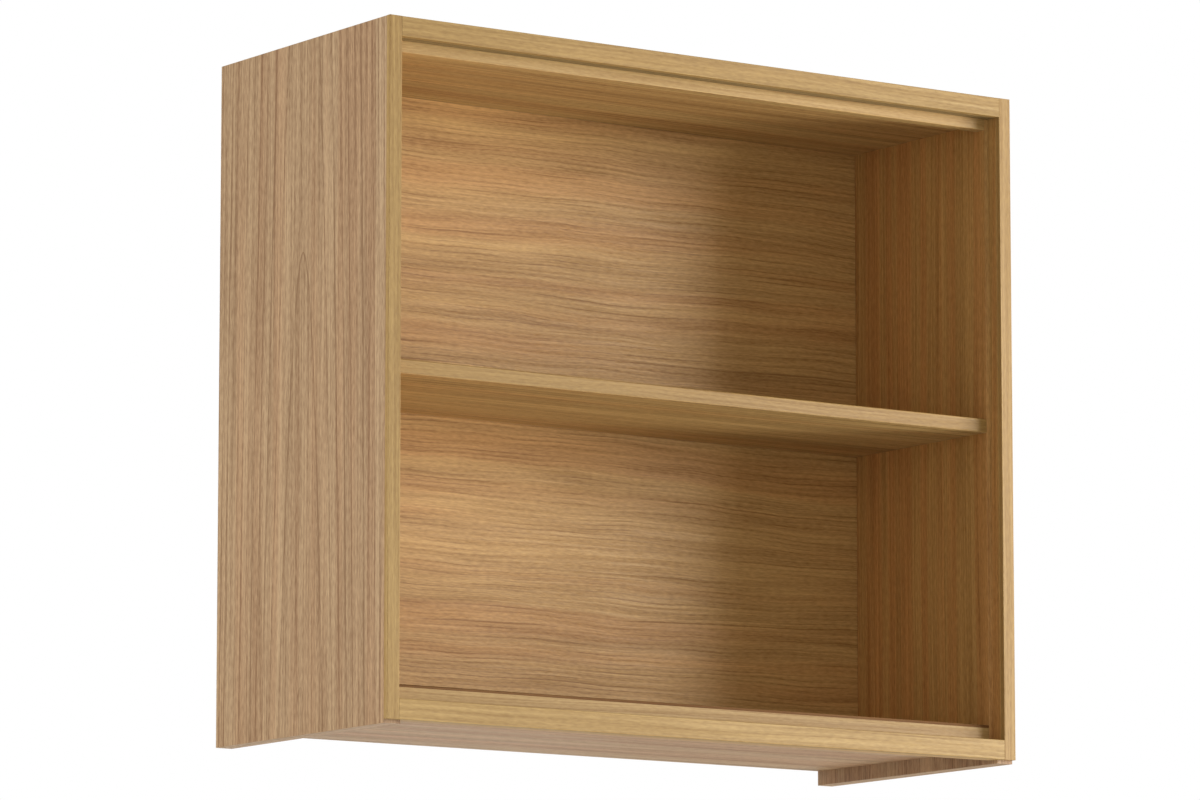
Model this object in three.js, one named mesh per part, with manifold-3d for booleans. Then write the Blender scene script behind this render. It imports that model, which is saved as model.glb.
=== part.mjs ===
// Hanging wall cabinet: an open, face-lipped case with one fixed shelf, hung on a bevelled wall rail.
//
// Millimetres, +Z up. The wall is the plane y = 0 and the open front faces -Y. The origin is the centre of
// the wall rail's back face. Inside this file every height is counted up from the lower ends of the side
// panels, the datum, and the group that holds the case drops it so that the origin lands on the wall rail.

import * as THREE from "three";
import { mergeVertices } from "three/addons/utils/BufferGeometryUtils.js";
import Module from "manifold-3d";

const wasm = await Module();
wasm.setup();

// Driving dimensions of the case
const WIDTH = 800;
const HEIGHT = 724;
const DEPTH = 330;
const FOOT = 4; // the side panels run this far below the front frame
const LIPPING = 6; // solid lipping glued over the front edges
const STILE = 15; // width of the upright lippings
const RAIL = 21; // height of the front rails and of their lippings
const RECESS = 20; // from the front face back to the stop battens and the shelf
const SIDE = 20; // side panels
const BOARD = 15; // top, bottom, shelf and battens
const BACK = 6; // back panel

// Heights above the datum
const BOTTOM_UNDERSIDE = 16;
const BOTTOM_BATTEN_TOP = 42;
const SHELF_UNDERSIDE = 359;
const TOP_BATTEN_UNDERSIDE = 691;
const TOP_UNDERSIDE = 699;

// The back panel stands well forward of the wall, so the rails behind it have room
const BACK_FACE = 255; // front face of the case to the front face of the back panel
const GROOVE = 6; // depth of the grooves that hold the back panel
const GROOVE_PLAY = 0.5;

// Hanging: a bevelled rail in the case hooks over a bevelled rail on the wall
const RAIL_THICK = 18;
const WALL_RAIL_LENGTH = 730;
const WALL_RAIL_BOTTOM = 540;
const WALL_RAIL_BACK_HEIGHT = 70;
const REAR_RAIL_HEIGHT = 60;
const SEAT_GAP = 0.3; // between the two bevels
const WALL_SCREW_R = 2.75;
const WALL_SCREW_HEAD_R = 5.5;
const WALL_SCREW_PITCH = 300;
const WALL_SCREW_RISE = 12; // above the origin

// Knock-down fittings, two cams and one dowel at each end of the top, bottom and shelf
const CAM_R = 7.5;
const CAM_HEIGHT = 12;
const CAM_INSET = 34; // cam centre to the end of its board
const CAM_BORE_DEPTH = 12.6;
const CAM_CROSS = [4, 0.8]; // arm and half width of the driver's cross
const CAM_CROSS_DEPTH = 2.5;
const BOLT_HEAD_R = 3.5;
const BOLT_NECK_R = 2.4;
const BOLT_THREAD_R = 3;
const BOLT_THREAD_LENGTH = 11;
const DOWEL_R = 4;
const DOWEL_LENGTH = 30;
const DOWEL_IN_SIDE = 12;
const DOWEL_CHAMFER = 1;
const PLAY = 0.3; // round a fitting in its bore
const ROUND = 12; // sides of the round fittings and bores

// Planes that follow from those
const HALF = WIDTH / 2;
const INNER = HALF - SIDE; // inner faces of the side panels
const STILE_INNER = HALF - STILE;
const FRONT = -DEPTH;
const CARCASS_FRONT = FRONT + LIPPING;
const STOP_FRONT = FRONT + RECESS;
const STOP_BACK = STOP_FRONT + BOARD;
const BACK_FRONT = FRONT + BACK_FACE;
const BACK_REAR = BACK_FRONT + BACK;
const TOP_TOP = TOP_UNDERSIDE + BOARD;
const BOTTOM_TOP = BOTTOM_UNDERSIDE + BOARD;
const SHELF_FRONT = STOP_FRONT + LIPPING;
const WALL_RAIL_BACK_TOP = WALL_RAIL_BOTTOM + WALL_RAIL_BACK_HEIGHT;
const ORIGIN_HEIGHT = WALL_RAIL_BOTTOM + WALL_RAIL_BACK_HEIGHT / 2;

// Places of the fittings along the depth of each board
const CASE_CAMS = [-262, -36];
const CASE_DOWEL = -150;
const SHELF_CAMS = [-272, -108];
const SHELF_DOWEL = -190;
const JOINTED_BOARDS = [
  { name: "top", underside: TOP_UNDERSIDE, cams: CASE_CAMS, dowel: CASE_DOWEL },
  { name: "shelf", underside: SHELF_UNDERSIDE, cams: SHELF_CAMS, dowel: SHELF_DOWEL },
  { name: "bottom", underside: BOTTOM_UNDERSIDE, cams: CASE_CAMS, dowel: CASE_DOWEL },
];
// Height and place of the dowels in the two rear rails
const REAR_RAIL_DOWELS = [
  { name: "hanging_rail_upper", y: -RAIL_THICK / 2, z: 680 },
  { name: "hanging_rail_lower", y: -RAIL_THICK / 2, z: 645 },
  { name: "rear_rail", y: -RAIL_THICK / 2, z: 61 },
];

const material = (color, roughness, metalness = 0) =>
  new THREE.MeshStandardMaterial({ color, roughness, metalness });
const FINISH = {
  outerVeneer: material(0xaf9070, 0.55),
  innerVeneer: material(0xb48c58, 0.5),
  lipping: material(0xc6a272, 0.5),
  backPanel: material(0xb08a5a, 0.55),
  railWood: material(0xcbb083, 0.7),
  dowelWood: material(0xd2b48c, 0.75),
  zincAlloy: material(0xa9abad, 0.35, 0.9),
  steel: material(0xb9bbbd, 0.3, 1),
};

// A box between two corners.
function box([x0, x1], [y0, y1], [z0, z1]) {
  const geometry = new THREE.BoxGeometry(x1 - x0, y1 - y0, z1 - z0);
  return geometry.translate((x0 + x1) / 2, (y0 + y1) / 2, (z0 + z1) / 2);
}

// A cylinder of the given radius along the x, y or z axis, between two places on that axis.
function rod(axis, radius, [from, to], [u, v]) {
  const geometry = new THREE.CylinderGeometry(radius, radius, to - from, ROUND);
  const middle = (from + to) / 2;
  if (axis === "x") return geometry.rotateZ(Math.PI / 2).translate(middle, u, v);
  if (axis === "y") return geometry.translate(u, middle, v);
  return geometry.rotateX(Math.PI / 2).translate(u, v, middle);
}

// A solid of revolution about the x axis through (y, z). The profile lists [distance along x, radius] and
// starts and ends on the axis; towards is the side of the case it points to.
function turnedAlongX(profile, y, z, towards) {
  const points = profile.map(([along, radius]) => new THREE.Vector2(radius, along));
  const geometry = new THREE.LatheGeometry(points, ROUND).rotateZ(-Math.PI / 2);
  if (towards < 0) geometry.rotateY(Math.PI);
  return geometry.translate(0, y, z);
}

function toSolid(geometry) {
  const bare = geometry.clone();
  bare.deleteAttribute("normal");
  bare.deleteAttribute("uv");
  const merged = mergeVertices(bare, 1e-3);
  return new wasm.Manifold(
    new wasm.Mesh({
      numProp: 3,
      vertProperties: merged.attributes.position.array,
      triVerts: new Uint32Array(merged.index.array),
    }),
  );
}

function toGeometry(solid) {
  const mesh = solid.getMesh();
  const geometry = new THREE.BufferGeometry();
  geometry.setAttribute("position", new THREE.BufferAttribute(mesh.vertProperties, 3));
  geometry.setIndex(new THREE.BufferAttribute(mesh.triVerts, 1));
  return geometry;
}

// geometry with every cutter taken out of it.
function carve(geometry, cutters) {
  return toGeometry(cutters.reduce((solid, cutter) => solid.subtract(toSolid(cutter)), toSolid(geometry)));
}

const cabinet = new THREE.Group();
cabinet.position.z = -ORIGIN_HEIGHT;

function add(name, geometry, finish) {
  const mesh = new THREE.Mesh(geometry, finish);
  mesh.name = name;
  cabinet.add(mesh);
}

// The span from a to b on the side of the case that sign names.
const mirrored = (sign, a, b) => (sign > 0 ? [a, b] : [-b, -a]);
const SIDES = [
  { label: "left", sign: -1 },
  { label: "right", sign: 1 },
];
const boltHeight = (board) => board.underside + BOARD / 2;

// Bores for the fittings of every board in one side panel.
function sidePanelBores(sign) {
  const bolts = JOINTED_BOARDS.flatMap((board) =>
    board.cams.map((y) =>
      rod("x", BOLT_THREAD_R + PLAY, mirrored(sign, INNER - 1, INNER + BOLT_THREAD_LENGTH + 1), [
        y,
        boltHeight(board),
      ]),
    ),
  );
  const dowelPlaces = [
    ...JOINTED_BOARDS.map((board) => [board.dowel, boltHeight(board)]),
    ...REAR_RAIL_DOWELS.map(({ y, z }) => [y, z]),
  ];
  const dowels = dowelPlaces.map((place) =>
    rod("x", DOWEL_R + PLAY, mirrored(sign, INNER - 1, INNER + DOWEL_IN_SIDE + 1), place),
  );
  return [...bolts, ...dowels];
}

// Side panel: rebated along its inner front edge above the foot, grooved for the back panel.
function sidePanel(sign) {
  const blank = box(mirrored(sign, INNER, HALF), [CARCASS_FRONT, 0], [0, HEIGHT]);
  const rebate = box(
    mirrored(sign, INNER - 1, STILE_INNER),
    [CARCASS_FRONT - 1, STOP_FRONT],
    [FOOT, HEIGHT + 1],
  );
  const groove = box(
    mirrored(sign, INNER - 1, INNER + GROOVE),
    [BACK_FRONT, BACK_REAR],
    [BOTTOM_TOP - GROOVE, TOP_UNDERSIDE + GROOVE],
  );
  return carve(blank, [rebate, groove, ...sidePanelBores(sign)]);
}

// Cam, bolt and dowel bores at both ends of a horizontal board. Cams go in from the upper face.
function boardBores(board) {
  const top = board.underside + BOARD;
  return SIDES.flatMap(({ sign }) => [
    ...board.cams.flatMap((y) => [
      rod("z", CAM_R + PLAY, [top - CAM_BORE_DEPTH, top + 1], [sign * (INNER - CAM_INSET), y]),
      rod("x", BOLT_HEAD_R + PLAY, mirrored(sign, INNER - CAM_INSET, INNER + 1), [y, boltHeight(board)]),
    ]),
    rod("x", DOWEL_R + PLAY, mirrored(sign, INNER - DOWEL_LENGTH + DOWEL_IN_SIDE - 1, INNER + 1), [
      board.dowel,
      boltHeight(board),
    ]),
  ]);
}

// Cam: a short drum, slotted from its side for the bolt's head, with a cross in its top.
function cam(sign, y, board) {
  const top = board.underside + BOARD;
  const x = sign * (INNER - CAM_INSET);
  const drum = rod("z", CAM_R, [top - CAM_HEIGHT - PLAY, top - PLAY], [x, y]);
  const slotSpan = mirrored(sign, INNER - CAM_INSET - 3, INNER - CAM_INSET + CAM_R + 1);
  const slot = rod("x", BOLT_HEAD_R + 2 * PLAY, slotSpan, [y, boltHeight(board)]);
  const [arm, halfWidth] = CAM_CROSS;
  const cross = [
    box([x - arm, x + arm], [y - halfWidth, y + halfWidth], [top - CAM_CROSS_DEPTH, top]),
    box([x - halfWidth, x + halfWidth], [y - arm, y + arm], [top - CAM_CROSS_DEPTH, top]),
  ];
  return carve(drum, [slot, ...cross]);
}

// Cam bolt: threaded end in the side panel, a collar at the joint, a neck and a round head in the cam.
function camBolt(sign, y, board) {
  const threadEnd = INNER + BOLT_THREAD_LENGTH;
  const headEnd = INNER - CAM_INSET - BOLT_HEAD_R + 2;
  const profile = [
    [headEnd, 0],
    [headEnd, BOLT_NECK_R],
    [headEnd + 1, BOLT_HEAD_R],
    [headEnd + 3.5, BOLT_HEAD_R],
    [headEnd + 4.5, BOLT_NECK_R],
    [INNER - 9, BOLT_NECK_R],
    [INNER - 8, BOLT_HEAD_R],
    [INNER, BOLT_HEAD_R],
    [INNER, BOLT_THREAD_R],
    [threadEnd - 2, BOLT_THREAD_R],
    [threadEnd, 1],
    [threadEnd, 0],
  ];
  return turnedAlongX(profile, y, boltHeight(board), sign);
}

function dowel(sign, y, z) {
  const from = INNER + DOWEL_IN_SIDE - DOWEL_LENGTH;
  const to = INNER + DOWEL_IN_SIDE;
  const profile = [
    [from, 0],
    [from, DOWEL_R - DOWEL_CHAMFER],
    [from + DOWEL_CHAMFER, DOWEL_R],
    [to - DOWEL_CHAMFER, DOWEL_R],
    [to, DOWEL_R - DOWEL_CHAMFER],
    [to, 0],
  ];
  return turnedAlongX(profile, y, z, sign);
}

// A rail whose bevelled edge slopes at 45 degrees; outline is [y, z] pairs, length runs along x.
function railFromOutline(outline, length) {
  const shape = new THREE.Shape(outline.map(([y, z]) => new THREE.Vector2(y, z)));
  const geometry = new THREE.ExtrudeGeometry(shape, { depth: length, bevelEnabled: false });
  return geometry.translate(0, 0, -length / 2).rotateY(Math.PI / 2).rotateX(Math.PI / 2);
}

// Side panels and the lippings on their front edges
for (const { label, sign } of SIDES) {
  add(`side_panel_${label}`, sidePanel(sign), FINISH.outerVeneer);
  const upright = box(mirrored(sign, STILE_INNER, HALF), [FRONT, CARCASS_FRONT], [FOOT, HEIGHT]);
  add(`lipping_${label}`, upright, FINISH.lipping);
}

// Top, bottom and shelf
const backGroove = (z) => box([-INNER - 1, INNER + 1], [BACK_FRONT, BACK_REAR], z);
for (const board of JOINTED_BOARDS) {
  const isShelf = board.name === "shelf";
  const depth = isShelf ? [SHELF_FRONT, BACK_FRONT - PLAY] : [STOP_BACK, 0];
  const blank = box([-INNER, INNER], depth, [board.underside, board.underside + BOARD]);
  const grooves = {
    top: [backGroove([TOP_UNDERSIDE - 1, TOP_UNDERSIDE + GROOVE])],
    bottom: [backGroove([BOTTOM_TOP - GROOVE, BOTTOM_TOP + 1])],
    shelf: [],
  }[board.name];
  const name = isShelf ? "shelf" : `${board.name}_panel`;
  add(name, carve(blank, [...grooves, ...boardBores(board)]), FINISH.innerVeneer);
}
add(
  "shelf_lipping",
  box([-INNER, INNER], [STOP_FRONT, SHELF_FRONT], [SHELF_UNDERSIDE, SHELF_UNDERSIDE + BOARD]),
  FINISH.lipping,
);

// Front rails with their lippings, and the stop battens behind them
for (const [label, z] of [
  ["top", [HEIGHT - RAIL, HEIGHT]],
  ["bottom", [FOOT, FOOT + RAIL]],
]) {
  const between = [-STILE_INNER, STILE_INNER];
  add(`${label}_rail`, box(between, [CARCASS_FRONT, STOP_FRONT], z), FINISH.innerVeneer);
  add(`lipping_${label}`, box(between, [FRONT, CARCASS_FRONT], z), FINISH.lipping);
}
for (const [label, z] of [
  ["top", [TOP_BATTEN_UNDERSIDE, TOP_TOP]],
  ["bottom", [BOTTOM_UNDERSIDE, BOTTOM_BATTEN_TOP]],
]) {
  add(`${label}_stop_batten`, box([-INNER, INNER], [STOP_FRONT, STOP_BACK], z), FINISH.lipping);
}

// Back panel, loose in its grooves
const backEdge = INNER + GROOVE - GROOVE_PLAY;
add(
  "back_panel",
  box(
    [-backEdge, backEdge],
    [BACK_FRONT + PLAY, BACK_REAR - PLAY],
    [BOTTOM_TOP - GROOVE + GROOVE_PLAY, TOP_UNDERSIDE + GROOVE - GROOVE_PLAY],
  ),
  FINISH.backPanel,
);

// Rear rails of the case, and the rail on the wall
const rearRailDowelBores = (names) =>
  SIDES.flatMap(({ sign }) =>
    REAR_RAIL_DOWELS.filter(({ name }) => names.includes(name)).map(({ y, z }) =>
      rod("x", DOWEL_R + PLAY, mirrored(sign, INNER - DOWEL_LENGTH + DOWEL_IN_SIDE - 1, INNER + 1), [y, z]),
    ),
  );
const hangingRail = railFromOutline(
  [
    [0, WALL_RAIL_BACK_TOP + SEAT_GAP],
    [0, TOP_UNDERSIDE],
    [-RAIL_THICK, TOP_UNDERSIDE],
    [-RAIL_THICK, WALL_RAIL_BACK_TOP + RAIL_THICK + SEAT_GAP],
  ],
  2 * INNER,
);
const hangingRailBores = rearRailDowelBores(["hanging_rail_upper", "hanging_rail_lower"]);
add("hanging_rail", carve(hangingRail, hangingRailBores), FINISH.railWood);
const rearRail = box([-INNER, INNER], [-RAIL_THICK, 0], [BOTTOM_TOP, BOTTOM_TOP + REAR_RAIL_HEIGHT]);
add("lower_rear_rail", carve(rearRail, rearRailDowelBores(["rear_rail"])), FINISH.railWood);

const wallRail = railFromOutline(
  [
    [0, WALL_RAIL_BOTTOM],
    [0, WALL_RAIL_BACK_TOP],
    [-RAIL_THICK, WALL_RAIL_BACK_TOP + RAIL_THICK],
    [-RAIL_THICK, WALL_RAIL_BOTTOM],
  ],
  WALL_RAIL_LENGTH,
);
const wallScrewHoles = [-1, 0, 1].flatMap((step) => {
  const place = [step * WALL_SCREW_PITCH, ORIGIN_HEIGHT + WALL_SCREW_RISE];
  const depth = WALL_SCREW_HEAD_R;
  const countersink = new THREE.CylinderGeometry(WALL_SCREW_R, WALL_SCREW_HEAD_R + 1, depth, ROUND);
  return [
    rod("y", WALL_SCREW_R, [-RAIL_THICK - 1, 1], place),
    countersink.translate(place[0], -RAIL_THICK - 1 + depth / 2, place[1]),
  ];
});
add("wall_rail", carve(wallRail, wallScrewHoles), FINISH.railWood);

// Fittings
for (const { label, sign } of SIDES) {
  for (const board of JOINTED_BOARDS) {
    board.cams.forEach((y, i) => {
      const place = `${board.name}_${label}_${["front", "rear"][i]}`;
      add(`cam_${place}`, cam(sign, y, board), FINISH.zincAlloy);
      add(`cam_bolt_${place}`, camBolt(sign, y, board), FINISH.steel);
    });
    add(`dowel_${board.name}_${label}`, dowel(sign, board.dowel, boltHeight(board)), FINISH.dowelWood);
  }
  for (const { name, y, z } of REAR_RAIL_DOWELS) {
    add(`dowel_${name}_${label}`, dowel(sign, y, z), FINISH.dowelWood);
  }
}

const root = new THREE.Group();
root.add(cabinet);
export default root;
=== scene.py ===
"""Visual model of a hanging wall cabinet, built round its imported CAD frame.

The frame gives the place and size of every board and fitting. Each board is finished here from its own CAD
solid: its arrises are eased, and every face gets the veneer, edge band or bare core that a maker would leave
on it. The cams, cam bolts and dowels are turned afresh as round pieces. Lengths are in metres.
"""

import logging
import math
from collections.abc import Sequence
from dataclasses import dataclass, field, replace
from enum import Enum

import bmesh
import bpy
from mathutils import Matrix, Vector

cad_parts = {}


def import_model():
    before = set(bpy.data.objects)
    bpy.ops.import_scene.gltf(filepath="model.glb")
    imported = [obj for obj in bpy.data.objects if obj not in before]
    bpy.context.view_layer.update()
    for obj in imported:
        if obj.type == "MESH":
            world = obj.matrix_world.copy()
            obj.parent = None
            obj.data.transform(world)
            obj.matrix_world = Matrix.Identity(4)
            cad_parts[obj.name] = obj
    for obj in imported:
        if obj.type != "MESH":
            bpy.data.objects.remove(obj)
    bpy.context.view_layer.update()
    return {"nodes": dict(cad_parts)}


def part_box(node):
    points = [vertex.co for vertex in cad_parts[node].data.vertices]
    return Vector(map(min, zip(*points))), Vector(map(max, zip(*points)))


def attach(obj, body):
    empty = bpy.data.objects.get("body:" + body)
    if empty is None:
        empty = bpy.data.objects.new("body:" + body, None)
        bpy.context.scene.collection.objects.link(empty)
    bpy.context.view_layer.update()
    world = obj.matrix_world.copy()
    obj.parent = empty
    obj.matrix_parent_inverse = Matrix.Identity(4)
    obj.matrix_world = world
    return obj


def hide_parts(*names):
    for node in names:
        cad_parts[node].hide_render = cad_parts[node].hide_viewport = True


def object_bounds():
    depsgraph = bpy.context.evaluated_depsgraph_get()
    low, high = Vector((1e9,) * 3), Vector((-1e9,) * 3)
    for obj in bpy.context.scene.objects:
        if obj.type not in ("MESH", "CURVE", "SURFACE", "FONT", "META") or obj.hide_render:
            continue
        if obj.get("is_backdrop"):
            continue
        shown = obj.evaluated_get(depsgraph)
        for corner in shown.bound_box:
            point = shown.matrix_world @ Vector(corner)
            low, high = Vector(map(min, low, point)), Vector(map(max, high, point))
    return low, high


MM = 0.001
TOUCH = 0.02 * MM  # points of a board closer than this are one point
SEAM = 0.001 * MM  # points of a turned piece closer than this are one point
FLAT = math.radians(0.5)  # faces that turn less than this are one face
CREASE = math.radians(35)  # a turned piece shows a sharp edge where it turns more than this
ROOT_BODY = "root"
LOG = logging.getLogger("cabinet")

Colour = tuple[float, float, float]
WHITE = (1.0, 1.0, 1.0, 1.0)
EVEN = Vector((1.0, 1.0, 1.0))


class Facing(Enum):
    """The six ways a flat face of a board can look."""

    LEFT = (-1.0, 0.0, 0.0)
    RIGHT = (1.0, 0.0, 0.0)
    FRONT = (0.0, -1.0, 0.0)
    REAR = (0.0, 1.0, 0.0)
    DOWN = (0.0, 0.0, -1.0)
    UP = (0.0, 0.0, 1.0)

    @classmethod
    def of(cls, normal: Vector) -> "Facing":
        """Returns the facing that a normal is closest to."""
        return max(cls, key=lambda facing: normal.dot(Vector(facing.value)))


class Grain(Enum):
    """How the grain runs: the axes along it, across it on the face, and through the board."""

    UPRIGHT_ON_SIDE = (2, 1, 0)
    UPRIGHT_ON_FRONT = (2, 0, 1)
    LENGTHWISE_ON_FLAT = (0, 1, 2)
    LENGTHWISE_ON_FRONT = (0, 2, 1)
    DEPTHWISE = (1, 0, 2)


class Signal:
    """A shader output that takes part in Python sums. Each sum adds its Math node."""

    def __init__(self, shader: "Shader", socket: bpy.types.NodeSocket) -> None:
        """Wraps an output socket.

        Args:
            shader: The shader that the socket belongs to.
            socket: The output socket.
        """
        self.shader = shader
        self.socket = socket

    def __add__(self, other: "Signal | float") -> "Signal":
        """Returns self + other."""
        return self.shader.math("ADD", self, other)

    def __radd__(self, other: float) -> "Signal":
        """Returns other + self."""
        return self.shader.math("ADD", other, self)

    def __sub__(self, other: "Signal | float") -> "Signal":
        """Returns self - other."""
        return self.shader.math("SUBTRACT", self, other)

    def __rsub__(self, other: float) -> "Signal":
        """Returns other - self."""
        return self.shader.math("SUBTRACT", other, self)

    def __mul__(self, other: "Signal | float") -> "Signal":
        """Returns self * other."""
        return self.shader.math("MULTIPLY", self, other)

    def __truediv__(self, other: "Signal | float") -> "Signal":
        """Returns self / other."""
        return self.shader.math("DIVIDE", self, other)

    def __pow__(self, power: float) -> "Signal":
        """Returns self raised to a power."""
        return self.shader.math("POWER", self, power)

    def floor(self) -> "Signal":
        """Returns the whole part."""
        return self.shader.math("FLOOR", self)

    def fraction(self) -> "Signal":
        """Returns the part after the point."""
        return self.shader.math("FRACT", self)

    def ramp(self, low: float, high: float) -> "Signal":
        """Adds a smooth step.

        Args:
            low: The value that gives 0.
            high: The value that gives 1. It may be the smaller of the two.

        Returns:
            The step, from 0 to 1.
        """
        made = self.shader.node(
            "ShaderNodeMapRange",
            {"interpolation_type": "SMOOTHSTEP"},
            {"Value": self, "From Min": low, "From Max": high},
        )
        return Signal(self.shader, made.outputs["Result"])


class Shader:
    """The node tree of a material or a world, with short ways to add nodes and join them."""

    def __init__(self, owner: bpy.types.Material | bpy.types.World) -> None:
        """Starts an empty tree.

        Args:
            owner: The new material or world that the tree belongs to.
        """
        self.owner = owner
        owner.use_nodes = True
        self.tree = owner.node_tree
        self.tree.nodes.clear()

    def node(
        self,
        kind: str,
        settings: dict[str, object] | None = None,
        inputs: dict[str | int, object] | None = None,
    ) -> bpy.types.Node:
        """Adds a node, sets it, then fills its sockets.

        Args:
            kind: The node's type.
            settings: Its properties. The stops of a colour ramp are (position, colour) pairs.
            inputs: The value or the Signal of each socket, by name or number.

        Returns:
            The new node.
        """
        made = self.tree.nodes.new(kind)
        for key, value in (settings or {}).items():
            if key == "stops":
                self._set_stops(made, value)
            else:
                setattr(made, key, value)
        for key, value in (inputs or {}).items():
            if isinstance(value, Signal):
                self.tree.links.new(value.socket, made.inputs[key])
            else:
                made.inputs[key].default_value = value
        return made

    @staticmethod
    def _set_stops(ramp: bpy.types.Node, stops: Sequence[tuple[float, Colour]]) -> None:
        """Gives a colour ramp its stops.

        Args:
            ramp: The colour ramp's node.
            stops: (position, colour) pairs, in order.
        """
        elements = ramp.color_ramp.elements
        for extra in range(len(stops) - len(elements)):
            elements.new(0.5 + 0.01 * extra)  # anywhere between the ends, until it gets its own position
        for element, (position, colour) in zip(elements, stops, strict=True):
            element.position = position
            element.color = (*colour, 1.0)

    def math(self, operation: str, *values: Signal | float) -> Signal:
        """Adds a Math node on one or more values and returns its result."""
        made = self.node("ShaderNodeMath", {"operation": operation}, dict(enumerate(values)))
        return Signal(self, made.outputs[0])

    def place(self) -> Signal:
        """Returns the object coordinates, which are the cabinet's own frame."""
        return Signal(self, self.node("ShaderNodeTexCoord").outputs["Object"])

    def axes(self, place: Signal) -> tuple[Signal, Signal, Signal]:
        """Returns the x, y and z of a place as three values."""
        split = self.node("ShaderNodeSeparateXYZ", inputs={"Vector": place})
        return tuple(Signal(self, split.outputs[axis]) for axis in range(3))

    def vector(self, x: Signal, y: Signal, z: Signal) -> Signal:
        """Returns a place made of its x, y and z."""
        made = self.node("ShaderNodeCombineXYZ", inputs={0: x, 1: y, 2: z})
        return Signal(self, made.outputs["Vector"])

    def noise(self, place: Signal, scale: Vector, shift: float, detail: float = 2.0) -> Signal:
        """Adds cloudy noise.

        Args:
            place: The coordinates it is read at.
            scale: Waves per metre along x, y and z.
            shift: Moves the pattern, so that two finishes don't share one.
            detail: How many finer layers it has.

        Returns:
            A value round 0.5.
        """
        shifted = {"Vector": place, "Location": (shift, shift, shift), "Scale": scale}
        moved = self.node("ShaderNodeMapping", inputs=shifted)
        made = self.node(
            "ShaderNodeTexNoise",
            {"noise_dimensions": "3D"},
            {"Vector": Signal(self, moved.outputs[0]), "Scale": 1.0, "Detail": detail, "Roughness": 0.55},
        )
        return Signal(self, made.outputs[0])

    def chance(self, number: Signal) -> Signal:
        """Returns a random value from 0 to 1 that is fixed for each number."""
        made = self.node("ShaderNodeTexWhiteNoise", {"noise_dimensions": "1D"}, {"W": number})
        return Signal(self, made.outputs["Value"])

    def colours(self, value: Signal, stops: Sequence[tuple[float, Colour]]) -> Signal:
        """Returns a value looked up in a colour ramp."""
        made = self.node("ShaderNodeValToRGB", {"stops": stops}, {"Fac": value})
        return Signal(self, made.outputs["Color"])

    def mix(
        self, share: Signal | float, first: Signal | Colour, second: Signal | Colour, how: str = "MIX"
    ) -> Signal:
        """Mixes two colours.

        Args:
            share: How much of the second colour goes in.
            first: The first colour.
            second: The second colour.
            how: The blend, such as MIX or MULTIPLY.

        Returns:
            The mixed colour.
        """
        first, second = (c if isinstance(c, Signal) else (*c, 1.0) for c in (first, second))
        settings = {"data_type": "RGBA", "blend_type": how}
        made = self.node("ShaderNodeMix", settings, {0: share, 6: first, 7: second})
        return Signal(self, made.outputs[2])

    def bump(self, height: Signal, depth: float, strength: float) -> Signal:
        """Returns normals that stand for a height map of the given depth in metres."""
        relief = {"Height": height, "Distance": depth, "Strength": strength}
        return Signal(self, self.node("ShaderNodeBump", inputs=relief).outputs["Normal"])

    def finish(self, **sockets: Signal | float | Sequence[float]) -> bpy.types.Material:
        """Closes the material with a Principled shader.

        Args:
            **sockets: Its sockets, with an underscore for each space in a name.

        Returns:
            The material.
        """
        named = {key.replace("_", " "): value for key, value in sockets.items()}
        surface = self.node("ShaderNodeBsdfPrincipled", inputs=named)
        self.node("ShaderNodeOutputMaterial", inputs={"Surface": Signal(self, surface.outputs["BSDF"])})
        return self.owner


@dataclass(frozen=True)
class Figure:
    """The growth rings that a board's face cuts through.

    Attributes:
        spacing: Width of one ring.
        heart: Where the middle of the log lies, across the face.
        cut: How far under the face the middle of the log lies, level with the origin.
        rise: How fast the face runs out of the log, which closes the rings into arches.
        lean: How fast the cut changes through the cabinet, so that two like boards differ.
        line: Width of the dark line that ends a ring.
        glow: How much a ring darkens on its way to that line, from 0 to 1.
        broken: How much the lines fade in and out, from 0 to 1.
        strength: How dark the lines are.
    """

    spacing: float = 7 * MM
    heart: float = 0.0
    cut: float = 25 * MM
    rise: float = 0.004
    lean: float = 0.0
    line: float = 2 * MM
    glow: float = 0.35
    broken: float = 0.7
    strength: float = 0.45


@dataclass(frozen=True)
class Palette:
    """The colours of one wood.

    Attributes:
        light: Colour of the early wood.
        dark: Colour of the late wood.
        blush: What the redder streaks multiply the colour by.
    """

    light: Colour
    dark: Colour
    blush: Colour


@dataclass(frozen=True)
class Layer:
    """One layer of a wood's pattern, drawn out along the grain.

    Attributes:
        along: Waves in the length of a streak, or in a metre if it is fixed.
        across: Waves per metre across the grain.
        shift: Moves the layer, so that no two of them line up.
        detail: How many finer layers it has.
        fixed: Whether it is as long in every wood.
    """

    along: float
    across: float
    shift: float = 0.0
    detail: float = 2.0
    fixed: bool = False


WANDER = Layer(0.45, 7.0, detail=3.0)
FADING = Layer(1.5, 45.0, 2.3)
STREAKS = Layer(0.25, 30.0, 3.1)
BANDS = Layer(0.6, 130.0, 8.9)
FIBRES = Layer(1.5, 380.0, 7.7, 1.0)
FLECKS = Layer(110.0, 620.0, 1.3, 1.0, fixed=True)
PORES = Layer(75.0, 1700.0, 5.9, 1.0, fixed=True)
BLUSH = Layer(0.2, 20.0, 11.3, 1.0)  # each wood gives it a width of its own
MEAN_TONE = 0.56
FADED = (0.4, 0.6)  # where a ring's dark line starts to fade, and where it is gone
BLUSHED = (0.42, 0.62)  # where a redder streak starts, and where it is full
PORE = (0.36, 0.26)  # the rim and the floor of a pore
LEAST_WEIGHT = 0.4  # how dark the weakest ring is against the strongest
GLOSS = 0.35
FIBRE_MATT = 0.25
PORE_MATT = 0.15
RELIEF = 0.25 * MM
RELIEF_STRENGTH = 0.35
FIBRE_RELIEF = 0.6
FLECK_RELIEF = 0.4
PORE_RELIEF = 0.8
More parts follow.
